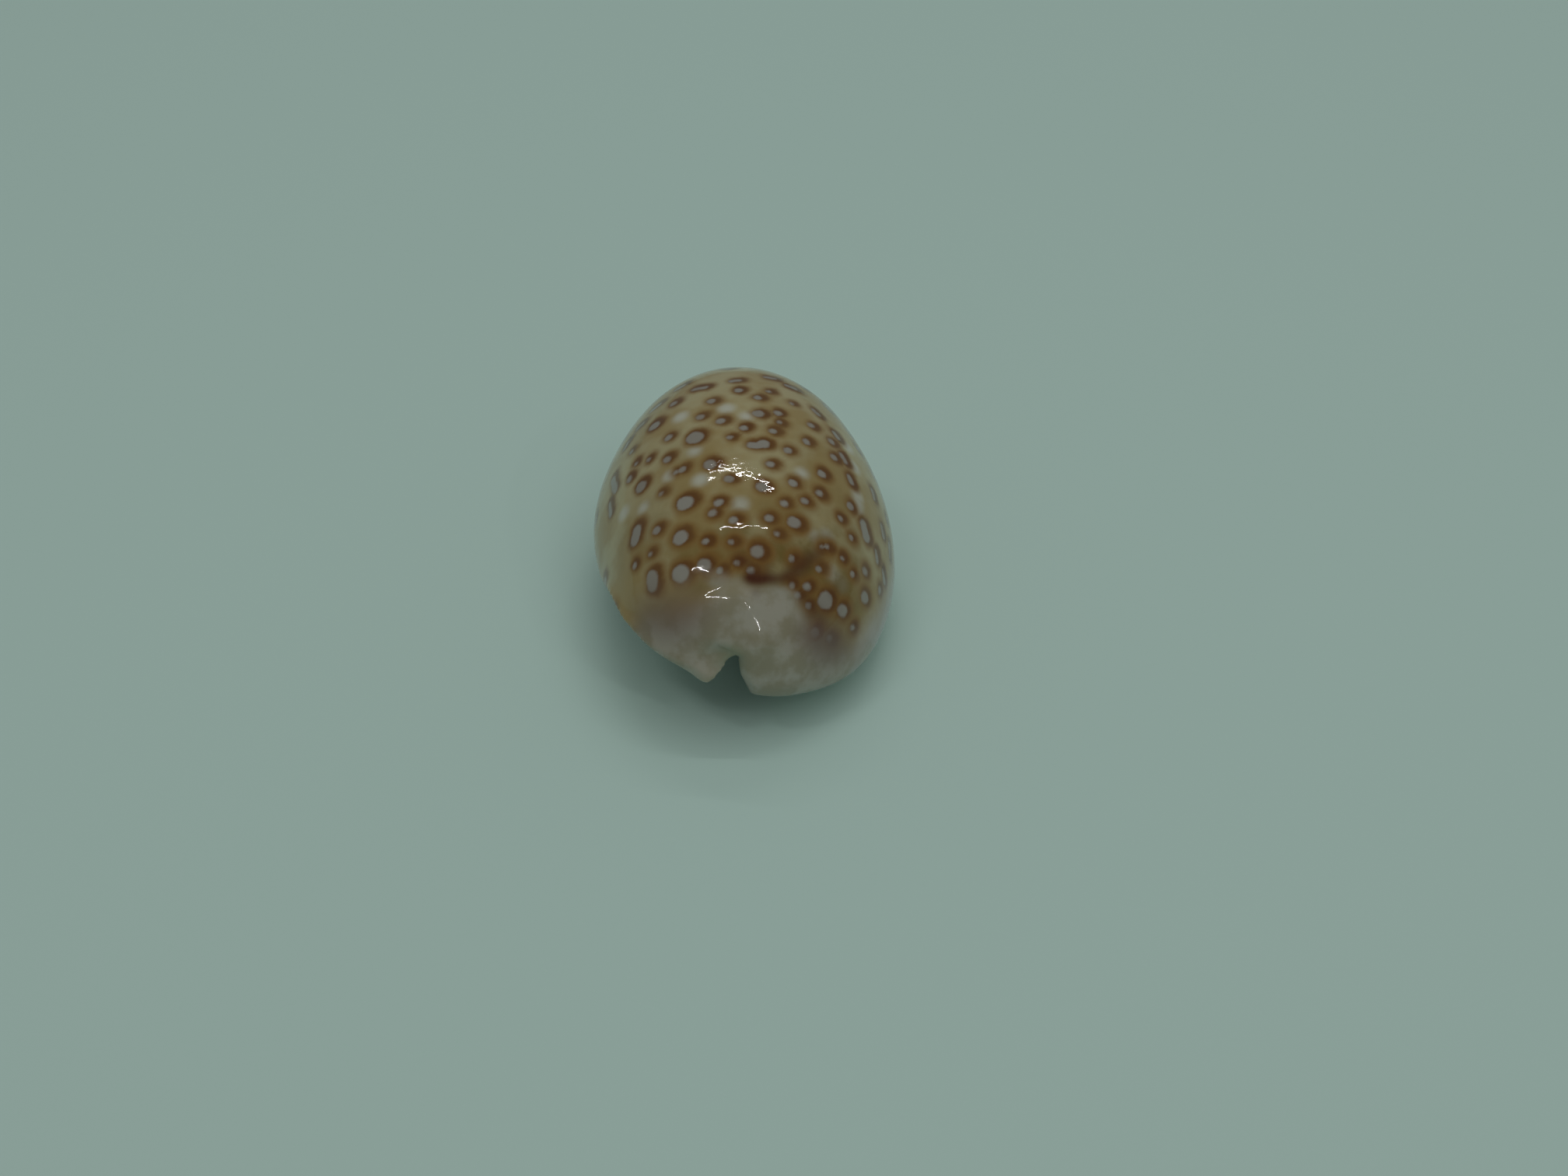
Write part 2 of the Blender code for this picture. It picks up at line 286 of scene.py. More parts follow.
def bodyRows():
    form = shellForm
    st = Stations(form["stations"])
    x, z = plainSections(st, form["archPoints"])
    plainZ = z
    under = z < st.side
    outerReach = apertureForm["outerTeeth"][4]
    innerReach = apertureForm["innerTeeth"][4]
    fullest, reach, fullness = form["innerLip"]
    z = z - under * (st.outerTeeth[1] * np.exp(-((x - x[:, :1]) / outerReach) ** 2)
                     + st.innerTeeth[1] * np.exp(-((x - x[:, -1:]) / innerReach) ** 2)
                     + st.sin * fullness * np.exp(-((x - x[:, -1:] + fullest) / reach) ** 2))
    lowness = np.abs(np.linspace(-1, 1, form["archPoints"])) ** form["lobePower"]
    back = np.stack([x, st.y + lowness * st.lobes, z], axis=-1)
    turn = 0.5 * np.pi * np.arange(1, form["lipPoints"] + 1) / form["lipPoints"]
    edges = []
    for end, side, (standing, below) in ((-1, 1, st.innerTeeth), (0, -1, st.outerTeeth)):
        edgeX = x[:, end][:, None] + side * (st.roundX + standing) * np.sin(turn)
        edgeZ = plainZ[:, end][:, None] + st.roundZ * (1 - np.cos(turn)) - below * np.cos(turn)
        edges.append(np.stack([edgeX, st.lipY + 0 * turn, edgeZ], axis=-1))
    left, right = edges
    rows = roundOff(np.concatenate([right[:, ::-1], back, left], axis=1), st)
    facing = outward(rows)
    rearward = np.clip(-foldForm["rearTurn"] * facing[..., 1:2], 0, 1)
    return rows + (callusHeight(rows) - dishDepth(rows) * rearward) * facing


def hollowRows():
    form = hollowForm
    st = Stations(form["stations"])
    x, z = plainSections(st, form["points"])
    height = z.max(axis=1, keepdims=True) - st.low
    centre = st.low + height * form["base"] / (form["base"] + form["back"])
    across = x - st.slit
    reach = np.where(across < 0, across.min(axis=1, keepdims=True), across.max(axis=1, keepdims=True))
    x = x - form["side"] * across * (across / reach) ** 2
    z = centre + (z - centre) * (1 - form["base"] - form["back"])
    rows = np.stack([x, st.y * (1 - form["ends"]) + 0 * x, z], axis=-1)
    return rows[st.sin[:, 0] > form["from"]]


def slotRows():
    form = apertureForm
    st = Stations(shellForm["stations"])
    top, rise, lean, fromLeft, fromRight, splay = readAlong(form["roof"], st.lipY)
    right = st.slit + st.gap - st.outerTeeth[0] + form["cutMargin"] - fromRight
    left = st.slit - st.gap + st.innerTeeth[0] - form["cutMargin"] + fromLeft
    place = np.linspace(1, -1, form["roofPoints"])
    away = np.abs(place - lean) / (1 - lean * np.sign(place - lean))
    x = 0.5 * (right + left) + 0.5 * (right - left) * place
    z = top - rise * away ** form["roofPower"]
    x = np.hstack([right + splay * (top - form["floor"]), x, left])
    z = np.hstack([form["floor"] + 0 * right, z, form["floor"] + 0 * left])
    rows = np.stack([x, st.lipY + 0 * x, z], axis=-1)
    beyond = np.array([0, form["beyond"], 0])
    return np.concatenate([rows[:1] - beyond, rows, rows[-1:] + beyond])


def toRealPlace(body, *others):
    # level the resting spot, bring the body to its size, and set the origin under the middle of its box
    lowest = body[..., 2].min()
    body = body.copy()
    body[..., 2] = np.maximum(body[..., 2], lowest + shellForm["restDepth"])
    low = body.min(axis=(0, 1))
    size = body.max(axis=(0, 1)) - low
    full = np.array([shellForm["width"], shellForm["length"], shellForm["height"]])
    middle = np.array([full[0] / 2, full[1] / 2, 0])
    return [((rows - low) * full / size - middle) * mm for rows in (body, *others)]


def selectOnly(piece):
    bpy.ops.object.select_all(action="DESELECT")
    piece.select_set(True)
    bpy.context.view_layer.objects.active = piece


def loftFromGrid(name, rows):
    # a flat grid is wrapped round the sections, joined along its seam and closed at both ends
    stations, around = rows.shape[:2]
    bpy.ops.object.select_all(action="DESELECT")
    bpy.ops.mesh.primitive_grid_add(x_subdivisions=around, y_subdivisions=stations - 1, size=1)
    piece = bpy.context.object
    piece.name = name
    piece.data.name = name
    wrapped = np.concatenate([rows, rows[:, :1]], axis=1)
    piece.data.vertices.foreach_set("co", wrapped.reshape(-1).astype(np.float32))
    piece.data.update()
    bpy.ops.object.mode_set(mode="EDIT")
    bpy.ops.mesh.select_all(action="SELECT")
    bpy.ops.mesh.remove_doubles(threshold=1e-8)
    bpy.ops.mesh.select_all(action="SELECT")
    bpy.ops.mesh.fill_holes(sides=0)
    bpy.ops.mesh.select_all(action="SELECT")
    bpy.ops.mesh.normals_make_consistent(inside=False)
    bpy.ops.object.mode_set(mode="OBJECT")
    return piece


def cutAway(piece, tool):
    cut = piece.modifiers.new(tool.name, "BOOLEAN")
    cut.operation = "DIFFERENCE"
    cut.solver = "EXACT"
    cut.object = tool
    selectOnly(piece)
    bpy.ops.object.modifier_apply(modifier=cut.name)
    bpy.data.objects.remove(tool, do_unlink=True)


def surfaceTree(piece):
    points = [v.co / mm for v in piece.data.vertices]
    return BVHTree.FromPolygons(points, [p.vertices for p in piece.data.polygons])


def roundRims(piece):
    # an even mesh all over, so that the cut edges soften as grown lips do
    even = piece.modifiers.new("even", "REMESH")
    even.mode = "VOXEL"
    even.voxel_size = shellForm["meshSize"] * mm
    even.use_smooth_shade = True
    soft = piece.modifiers.new("soft", "SMOOTH")
    soft.factor = 0.5
    soft.iterations = shellForm["rimSoftness"]
    selectOnly(piece)
    for modifier in (even, soft):
        bpy.ops.object.modifier_apply(modifier=modifier.name)


def makeShell():
    body, hollow, slot = toRealPlace(bodyRows(), hollowRows(), slotRows())
    piece = loftFromGrid("cowrieShell", body)
    skin = surfaceTree(piece)
    for name, rows in (("hollowCutter", hollow), ("slotCutter", slot)):
        cutAway(piece, loftFromGrid(name, rows))
    roundRims(piece)
    return piece, skin


shell, uncutSkin = makeShell()
shellSurface = surfaceTree(shell)
print("shell made:", len(shell.data.vertices), "points,", len(shell.data.polygons), "faces")


def placeCamera():
    view = cameraView
    pitch = math.radians(view["pitch"])
    aim = Vector(view["aim"]) * mm
    back = Vector((0, -math.cos(pitch), math.sin(pitch)))
    data = bpy.data.cameras.new("camera")
    data.lens = view["lens"]
    data.sensor_width = view["sensor"]
    data.clip_start, data.clip_end = cameraView["clip"]
    camera = bpy.data.objects.new("camera", data)
    camera.location = aim + back * view["distance"] * mm
    camera.rotation_euler = (math.radians(90 - view["pitch"]), 0, 0)
    bpy.context.scene.collection.objects.link(camera)
    bpy.context.scene.camera = camera
    return camera


camera = placeCamera()
cameraPlace = np.array(camera.location) / mm


def rayThrough(x, y):
    # direction of the sight line through a pixel of the photograph
    width, height = cameraView["imageSize"]
    perPixel = cameraView["sensor"] / cameraView["lens"] / width
    pitch = math.radians(cameraView["pitch"])
    right = np.array([1.0, 0, 0])
    up = np.array([0, math.sin(pitch), math.cos(pitch)])
    ahead = np.array([0, math.cos(pitch), -math.sin(pitch)])
    ray = ahead + (x - width / 2) * perPixel * right - (y - height / 2) * perPixel * up
    return ray / np.linalg.norm(ray)


def onShell(x, y):
    # the point of the shell that a pixel of the photograph shows
    ray = rayThrough(x, y)
    place = shellSurface.ray_cast(Vector(cameraPlace), Vector(ray))[0]
    if place is None:
        place = shellSurface.find_nearest(Vector(cameraPlace + cameraView["missReach"] * ray))[0]
    return np.array(place)


# eye spots, read from the photograph one by one: their pixels, by size
eyeMarks = {
    "small": [(988, 503), (1018, 519), (1002, 543), (938, 562), (812, 581), (818, 596), (834, 591),
              (850, 635), (869, 607), (907, 696), (940, 697), (999, 687), (1056, 703), (836, 713),
              (1018, 718), (1083, 718), (1080, 666), (1094, 691), (925, 734), (816, 727), (947, 723),
              (1053, 731), (1096, 738), (1025, 765), (1039, 779), (1096, 807), (1018, 752), (1063, 703)],
    "middle": [(949, 502), (866, 519), (915, 516), (974, 511), (900, 536), (927, 541), (1000, 531),
               (1043, 547), (859, 563), (956, 550), (993, 554), (1037, 568), (1069, 568), (857, 591),
               (877, 604), (1013, 579), (990, 597), (1072, 588), (1056, 609), (809, 616), (937, 616),
               (1019, 621), (1053, 634), (924, 646), (916, 660), (1008, 647), (1034, 644), (943, 669),
               (988, 666), (844, 682), (965, 734), (1093, 651), (1037, 754), (1047, 813), (1066, 821),
               (1131, 759), (1112, 735)],
    "large": [(975, 532), (841, 548), (913, 597), (981, 571), (824, 626), (980, 626), (1021, 672),
              (974, 709), (906, 727), (1083, 785), (1112, 768)],
    "widest": [(893, 563), (881, 647), (875, 691), (875, 737), (1061, 772)],
}

# spots that are drawn out: both ends and size
longMarks = [
    ((892, 501), (907, 498), "small"), ((788, 617), (791, 630), "middle"),
    ((819, 682), (816, 695), "large"), ((838, 741), (839, 754), "large"),
    ((1110, 675), (1114, 690), "large"), ((1133, 676), (1136, 690), "small"),
    ((1121, 630), (1124, 641), "small"), ((1126, 709), (1128, 722), "small"),
    ((784, 648), (785, 662), "small"), ((1143, 700), (1144, 716), "small"),
    ((1135, 735), (1137, 748), "small"), ((838, 528), (848, 520), "small"),
    ((870, 501), (880, 495), "small"), ((940, 490), (950, 489), "small"), ((984, 485), (996, 487), "small"),
    ((1012, 496), (1022, 500), "small"), ((1046, 527), (1052, 533), "small"),
    ((1072, 556), (1077, 563), "small"), ((1082, 585), (1087, 594), "small"),
    ((966, 572), (976, 573), "middle"), ((1091, 612), (1095, 621), "small"),
    ((820, 551), (826, 545), "small"), ((803, 577), (807, 570), "small"),
]

# pale places with no ring round them
paleMarks = {
    "small": [(960, 535), (860, 612), (827, 653), (1048, 690), (1031, 608), (893, 580), (921, 744)],
    "middle": [(875, 536), (934, 525), (900, 617), (952, 648), (1069, 737), (1075, 744), (1082, 752),
               (1103, 638), (1103, 646), (1103, 653), (802, 660), (1090, 575), (1098, 600), (1063, 690)],
}

eyeSizes = {"small": 0.14, "middle": 0.20, "large": 0.30, "widest": 0.40}   # radius of the pale centre, mm
ringForm = {"shift": 0.15, "towards": (1.0, 0.35, 0.0)}   # the ring is fuller towards the outer lip, mm
eyeSpread = {"size": (0.94, 1.06), "ring": (0.8, 1.0), "white": (0.8, 1.0), "scattered": (0.75, 1.0)}
farAway = {"spot": 2, "cut": 9}   # distances in mm are stored no further than this
paleEdge = (0.45, -0.1)

scatter = {
    "seed": 7,
    "spacing": 1.35,       # mm between spots that the photograph doesn't show
    "tries": 9000,
    "sizes": ("small", "middle", "middle", "large", "large", "widest"),
    "facing": 0.16,        # a place counts as seen when its normal meets the sight line by more
    "lowest": 4.4,
    "skin": 0.05,          # mm from the uncut form within which a place lies outside
}


def eyeList():
    # both ends, ring radius, ring depth and centre whiteness of every spot
    rng = np.random.default_rng(scatter["seed"])
    eyes = []

    def add(a, b, size, ring=1.0):
        depth = ring * rng.uniform(*eyeSpread["ring"])
        radius = eyeSizes[size] * rng.uniform(*eyeSpread["size"])
        eyes.append((a, b, radius, depth, rng.uniform(*eyeSpread["white"])))

    for size, pixels in eyeMarks.items():
        for x, y in pixels:
            place = onShell(x, y)
            add(place, place, size)
    for first, last, size in longMarks:
        add(onShell(*first), onShell(*last), size)
    seen = len(eyes)
    normals = np.array([p.normal for p in shell.data.polygons])
    centres = np.array([p.center for p in shell.data.polygons]) / mm
    areas = np.array([p.area for p in shell.data.polygons])
    outside = np.array([uncutSkin.find_nearest(Vector(place))[3] for place in centres]) < scatter["skin"]
    sight = cameraPlace - centres
    sight /= np.linalg.norm(sight, axis=1, keepdims=True)
    turnedAway = (normals * sight).sum(axis=1) < scatter["facing"]
    chance = areas * (outside & turnedAway & (centres[:, 2] > scatter["lowest"]))
    picks = rng.choice(len(centres), size=scatter["tries"], p=chance / chance.sum())
    taken = [e[0] for e in eyes]
    for pick in picks:
        place = centres[pick]
        if np.min(np.linalg.norm(np.array(taken) - place, axis=1)) > scatter["spacing"]:
            taken.append(place)
            add(place, place, str(rng.choice(scatter["sizes"])), rng.uniform(*eyeSpread["scattered"]))
    print("spots:", seen, "read,", len(eyes) - seen, "scattered where the photograph doesn't show the shell")
    return eyes


# stains on the glaze, and painted shade in the hollow of the left lobe: pixel, radius in mm, strength
stains = {
    "golden": [(957, 715, 2.4, 0.8), (905, 730, 1.5, 0.5), (865, 715, 1.5, 0.4), (1005, 700, 2.2, 0.6),
               (1035, 720, 2.0, 0.7), (1060, 770, 1.8, 0.8), (1090, 715, 2.0, 0.55), (1035, 800, 1.0, 0.6),
               (985, 735, 1.2, 0.7), (820, 690, 1.8, 0.35), (1095, 775, 1.4, 0.5), (1080, 650, 2.4, 0.3),
               (850, 655, 2.2, 0.25), (1045, 590, 2.0, 0.2), (880, 580, 1.6, 0.2)],
    "chestnut": [(963, 743, 0.26, 0.95), (969, 744, 0.28, 1.0), (976, 745, 0.27, 0.95),
                 (983, 744, 0.26, 0.9), (990, 744, 0.25, 0.75), (997, 744, 0.25, 0.6),
                 (1004, 744, 0.25, 0.55), (1011, 742, 0.26, 0.55), (1018, 738, 0.36, 0.55),
                 (1026, 731, 0.42, 0.6), (1034, 724, 0.42, 0.6), (1043, 717, 0.38, 0.55),
                 (1052, 711, 0.32, 0.5), (972, 762, 0.24, 0.3), (960, 722, 0.30, 0.4),
                 (950, 716, 0.30, 0.35), (1035, 768, 0.34, 0.45), (1046, 786, 0.40, 0.45),
                 (1072, 762, 0.30, 0.35), (1056, 797, 0.34, 0.35), (986, 730, 0.35, 0.3)],
    "violet": [(822, 786, 0.9, 0.3), (842, 791, 1.0, 0.55), (862, 793, 1.1, 0.6), (882, 789, 1.0, 0.5),
               (903, 781, 0.9, 0.25), (1038, 812, 0.7, 0.45), (1054, 824, 0.9, 0.95), (1070, 832, 0.9, 0.85),
               (1087, 832, 0.8, 0.45)],
    # painted shade: darkens the hollow of the left lobe, where the dish lies
    "shade": [(934, 842, 0.5, 0.75), (945, 838, 0.35, 0.6), (925, 848, 0.5, 0.35)],
    "callus": [(985, 777, 0.75, 1.0), (1000, 776, 0.7, 1.0), (1010, 772, 0.45, 0.8), (1000, 795, 0.9, 1.0),
               (960, 790, 1.0, 1.0), (938, 788, 0.9, 0.8), (918, 800, 0.9, 0.7), (1010, 815, 1.1, 1.0),
               (985, 830, 1.8, 1.0), (940, 824, 1.6, 1.0), (900, 836, 1.5, 1.0), (865, 832, 1.3, 1.0),
               (1045, 868, 1.3, 1.0), (1080, 866, 1.1, 1.0), (1010, 868, 1.6, 1.0), (930, 860, 1.4, 1.0),
               (830, 820, 1.1, 0.9), (1115, 842, 1.0, 0.9), (1000, 895, 1.6, 1.0), (838, 754, 0.6, 0.36),
               (875, 745, 0.7, 0.42), (906, 736, 0.5, 0.36), (925, 744, 0.5, 0.45), (945, 752, 0.6, 0.45)],
}


def stainDepth(points, marks):
    clear = np.ones(len(points))
    for x, y, radius, strength in marks:
        distance = np.linalg.norm(points - onShell(x, y), axis=1)
        clear *= 1 - strength * np.exp(-(distance / radius) ** 2)
    return 1 - clear


def spotDistance(points, ends):
    # mm from every point to the edge of the nearest spot, and which one it is
    nearest = np.full(len(points), np.inf)
    which = np.zeros(len(points), int)
    for index, (a, b, radius, *rest) in enumerate(ends):
        line = b - a
        share = np.clip((points - a) @ line / max(line @ line, 1e-9), 0, 1)
        distance = np.linalg.norm(points - a - share[:, None] * line, axis=1) - radius
        closer = distance < nearest
        nearest[closer] = distance[closer]
        which[closer] = index
    return nearest, which


def storeOnPoints(piece, name, values):
    attribute = piece.data.attributes.new(name, "FLOAT", "POINT")
    attribute.data.foreach_set("value", values.astype(np.float32))


def markShell(piece):
    points = np.zeros(len(piece.data.vertices) * 3)
    piece.data.vertices.foreach_get("co", points)
    points = points.reshape(-1, 3) / mm
    eyes = eyeList()
    nearest, which = spotDistance(points, eyes)
    storeOnPoints(piece, "spot", np.minimum(nearest, farAway["spot"]))
    rings = []
    for a, b, radius, *rest in eyes:
        normal = np.array(shellSurface.find_nearest(Vector(0.5 * (a + b)))[1])
        towards = np.array(ringForm["towards"])
        towards = towards - normal * (towards @ normal)
        shift = ringForm["shift"] * towards / np.linalg.norm(towards)
        rings.append((a + shift, b + shift, radius))
    storeOnPoints(piece, "ring", np.minimum(spotDistance(points, rings)[0], farAway["spot"]))
    storeOnPoints(piece, "ringDepth", np.array([e[3] for e in eyes])[which])
    storeOnPoints(piece, "centreWhite", np.array([e[4] for e in eyes])[which])
    pale = []
    for size, pixels in paleMarks.items():
        pale += [(onShell(x, y), onShell(x, y), eyeSizes[size]) for x, y in pixels]
    storeOnPoints(piece, "pale", ease(*paleEdge, spotDistance(points, pale)[0]))
    depth = np.array([uncutSkin.find_nearest(Vector(point))[3] for point in points])
    storeOnPoints(piece, "cutDepth", np.minimum(depth, farAway["cut"]))
    for name, marks in stains.items():
        storeOnPoints(piece, name, stainDepth(points, marks))


markShell(shell)
print("markings laid on the shell")

glaze = {
    "ground": (0.36, 0.265, 0.105),
    "paleGround": (0.47, 0.42, 0.24),
    "palePatch": (0.55, 0.55, 0.46),
    "golden": (0.16, 0.100, 0.012),
    "halo": (0.22, 0.110, 0.020),
    "ring": (0.125, 0.043, 0.004),
    "chestnut": (0.072, 0.014, 0.001),
    "spotCentre": (0.31, 0.29, 0.25),
    "callus": (0.39, 0.365, 0.30),
    "callusTan": (0.29, 0.26, 0.18),
    "lilac": (0.42, 0.39, 0.38),
    "violet": (0.16, 0.11, 0.09),
    # colour of the painted shade in the hollow of the left lobe
    "shade": (0.26, 0.26, 0.16),
    "base": (0.74, 0.71, 0.64),
    "inside": (0.30, 0.16, 0.09),
    "rippleDepth": 0.0000055,
}

porcelain = {
    "IOR": 1.53,
    "Subsurface Weight": 0.12,
    "Subsurface Radius": (1.0, 0.7, 0.5),
    "Subsurface Scale": 0.0002,
}

# noise: scale and detail
noiseForm = {
    "wobble": (1900.0, 3.0),
    "cloud": (330.0, 3.0),
    "streak": (900.0, 4.0),
    "slow": (1500.0, 0.0),
    "fine": (3100.0, 0.0),
    "dull": (500.0, 3.0),
}

# each layer of the glaze: where it begins and ends, and how strong it is at either
layerForm = {
    "cloudy": (0.42, 0.64, 0.0, 0.75),
    "goldStreak": (0.3, 0.7, 0.45, 1.0),
    "halo": (0.05, 0.55, 1.0, 0.0),
    "ring": (0.0, 0.30, 0.9, 0.0),
    "centre": (-0.09, 0.09, 1.0, 0.0),
    "margin": (0.0008, 0.0036, 1.0, 0.0),
    "callus": (0.15, 0.95, 0.0, 0.93),
    "mottle": (0.36, 0.62, 0.0, 1.0),
    "base": (-0.0010, 0.0008, 1.0, 0.0),
    "deep": (1.1, 2.6, 0.0, 1.0),
    "roughness": (0.35, 0.7, 0.03, 0.07),
}

# how much of a noise or stain goes into a distance or a colour
shares = {
    "spotWobble": 0.24,
    "ringWobble": 0.5,
    "merging": -0.14,
    "heightCloud": -0.0026,
    "cutStreak": 0.9,
    "pale": 0.9,
    "violet": 0.85,
    "slowSwell": 0.5,
}


def newMaterial(name):
    material = bpy.data.materials.new(name)
    material.use_nodes = True
    tree = material.node_tree
    return material, tree, tree.nodes["Principled BSDF"]


def addNode(tree, kind, place, **values):
    node = tree.nodes.new(kind)
    node.location = place
    for name, value in values.items():
        setattr(node, name, value)
    return node


def mathNode(tree, operation, first, second, place, third=0.0, clamp=False):
    node = addNode(tree, "ShaderNodeMath", place, operation=operation, use_clamp=clamp)
    for socket, value in zip(node.inputs, (first, second, third)):
        if isinstance(value, (int, float)):
            socket.default_value = value
        else:
            tree.links.new(value, socket)
    return node.outputs[0]


def rangeNode(tree, value, layer, place):
    node = addNode(tree, "ShaderNodeMapRange", place, interpolation_type="SMOOTHSTEP")
    tree.links.new(value, node.inputs["Value"])
    for name, number in zip(("From Min", "From Max", "To Min", "To Max"), layerForm[layer]):
        node.inputs[name].default_value = number
    return node.outputs["Result"]


def mixColour(tree, factor, first, second, place):
    node = addNode(tree, "ShaderNodeMix", place, data_type="RGBA")
    tree.links.new(factor, node.inputs[0])
    for socket, value in ((node.inputs[6], first), (node.inputs[7], second)):
        if isinstance(value, tuple):
            socket.default_value = (*value, 1.0)
        else:
            tree.links.new(value, socket)
    return node.outputs[2]


def noiseNode(tree, vector, name, place):
    node = addNode(tree, "ShaderNodeTexNoise", place)
    tree.links.new(vector, node.inputs["Vector"])
    node.inputs["Scale"].default_value, node.inputs["Detail"].default_value = noiseForm[name]
    return node.outputs["Fac"]


def readPoint(tree, name, place):
    node = addNode(tree, "ShaderNodeAttribute", place, attribute_name=name)
    return node.outputs["Fac"]


def makeRippleGroup():
    # the slow swell and the fine unevenness of grown glaze
    group = bpy.data.node_groups.new("glazeRipple", "ShaderNodeTree")
    group.interface.new_socket("Vector", in_out="INPUT", socket_type="NodeSocketVector")
    group.interface.new_socket("Height", in_out="OUTPUT", socket_type="NodeSocketFloat")
    group.interface.new_socket("Roughness", in_out="OUTPUT", socket_type="NodeSocketFloat")
    start = addNode(group, "NodeGroupInput", (-800, 0))
    end = addNode(group, "NodeGroupOutput", (400, 0))
    vector = start.outputs["Vector"]
    slow = noiseNode(group, vector, "slow", (-500, 200))
    fine = noiseNode(group, vector, "fine", (-500, 0))
    dull = noiseNode(group, vector, "dull", (-500, -200))
    height = mathNode(group, "MULTIPLY_ADD", slow, shares["slowSwell"], (-200, 200), fine)
    group.links.new(height, end.inputs["Height"])
    group.links.new(rangeNode(group, dull, "roughness", (-200, -200)), end.inputs["Roughness"])
    return group


rippleGroup = makeRippleGroup()


def addRipple(tree, surface, vector, depth):
    ripple = addNode(tree, "ShaderNodeGroup", (200, -400), node_tree=rippleGroup)
    tree.links.new(vector, ripple.inputs["Vector"])
    bump = addNode(tree, "ShaderNodeBump", (400, -400))
    bump.inputs["Strength"].default_value = 1.0
    bump.inputs["Distance"].default_value = depth
    tree.links.new(ripple.outputs["Height"], bump.inputs["Height"])
    tree.links.new(bump.outputs["Normal"], surface.inputs["Normal"])
    tree.links.new(ripple.outputs["Roughness"], surface.inputs["Roughness"])


